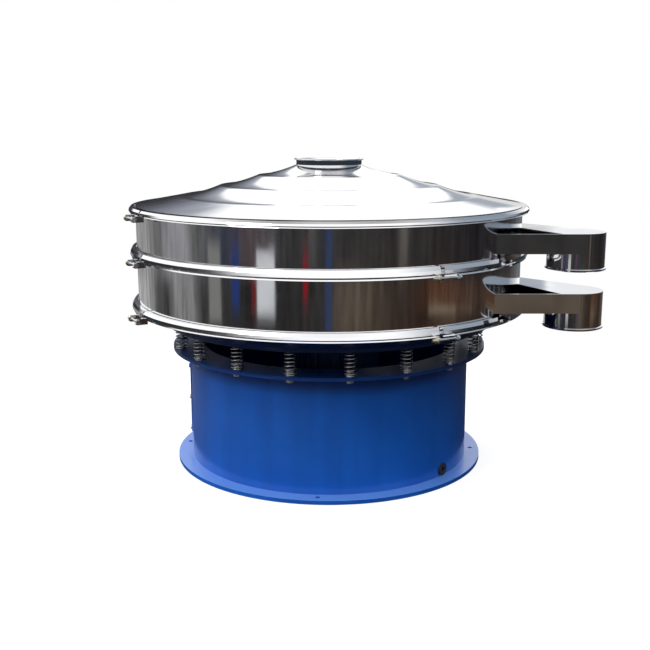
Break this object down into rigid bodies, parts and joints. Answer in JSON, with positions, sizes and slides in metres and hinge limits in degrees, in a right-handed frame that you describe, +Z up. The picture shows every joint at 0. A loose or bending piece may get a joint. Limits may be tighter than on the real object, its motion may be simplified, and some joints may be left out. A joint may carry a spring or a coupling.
{
  "type": "rotary vibrating sieve",
  "caption": "Round vibrating sieve: stainless drums with a screen deck, coned lid and side spouts, clamped on a sprung table over a painted base with a vibration motor.",
  "frame": {"origin": "on the machine's axis at the floor, in the middle of the base flange's underside", "axes": "+Z up along the machine's axis, -Y to the front that the picture shows, +X to its right, with the spouts 67.4 degrees from the front towards +X"},
  "size_m": [1.4163, 1.2408, 0.9504],
  "materials": {
    "blue_paint": "glossy blue machine paint",
    "polished_stainless": "mirror polished stainless steel",
    "mesh_steel": "woven stainless wire",
    "spring_steel": "oiled dark spring steel",
    "zinc_steel": "zinc plated",
    "yellow_zinc": "yellow passivated nut",
    "motor_iron": "painted cast iron",
    "machined_steel": "turned steel",
    "weight_iron": "cast iron",
    "core_iron": "laminated core",
    "white_silicone": "white silicone rubber",
    "black_rubber": "black rubber",
    "grey_plastic": "moulded plastic"
  },
  "bodies": {
    "base": {"base_flange": "blue_paint", "base_shell": "blue_paint", "spring_flange": "blue_paint", "access_cover": "blue_paint", "access_cover_gasket": "black_rubber", "access_cover_bolts": "zinc_steel", "cable_grommet": "black_rubber", "springs": "spring_steel", "spring_guide_bolts": "zinc_steel", "spring_nuts": "zinc_steel"},
    "sieve": {"spring_top_guides": "blue_paint", "vibrating_table": "blue_paint", "body_cone": "blue_paint", "motor_housing": "motor_iron", "motor_lower_cap": "motor_iron", "motor_upper_cap": "motor_iron", "motor_bolts": "zinc_steel", "terminal_box": "motor_iron", "terminal_gland": "grey_plastic", "lower_bearing": "machined_steel", "upper_bearing": "machined_steel", "stator_core": "core_iron", "discharge_pan": "polished_stainless", "lower_drum": "polished_stainless", "lower_spout": "polished_stainless", "lower_outlet_collar": "polished_stainless", "upper_drum": "polished_stainless", "upper_spout": "polished_stainless", "upper_outlet_collar": "polished_stainless", "screen_hoop": "polished_stainless", "sieve_mesh": "mesh_steel", "ball_tray": "mesh_steel", "cleaning_balls": "white_silicone", "bottom_gasket": "white_silicone", "screen_gasket": "white_silicone", "lid_gasket": "white_silicone", "lid_cone": "polished_stainless", "inlet_collar": "polished_stainless", "bottom_clamp_band": "polished_stainless", "bottom_clamp_bolts": "zinc_steel", "bottom_clamp_nuts": "yellow_zinc", "middle_clamp_band": "polished_stainless", "middle_clamp_bolts": "zinc_steel", "middle_clamp_nuts": "yellow_zinc", "lid_clamp_band": "polished_stainless", "lid_clamp_bolts": "zinc_steel", "lid_clamp_nuts": "yellow_zinc"},
    "rotor": {"motor_shaft": "machined_steel", "rotor_core": "core_iron", "upper_eccentric_weight": "weight_iron"},
    "lower_weight": {"lower_eccentric_weight": "weight_iron"}
  },
  "joints": [
    {"name": "bounce", "type": "slide", "parent": "base", "child": "sieve", "axis": [0, 0, 1], "range_m": [-0.005, 0.005], "stiffness_N_per_m": 400000, "springref_m": 0.0074, "deforming": ["springs"]},
    {"name": "rotor_spin", "type": "hinge", "parent": "sieve", "child": "rotor", "pos_m": [0, 0, 0.33], "axis": [0, 0, 1], "continuous": true},
    {"name": "lower_weight_lead", "type": "hinge", "parent": "rotor", "child": "lower_weight", "pos_m": [0, 0, 0.14], "axis": [0, 0, 1], "range_deg": [0, 90]}
  ]
}
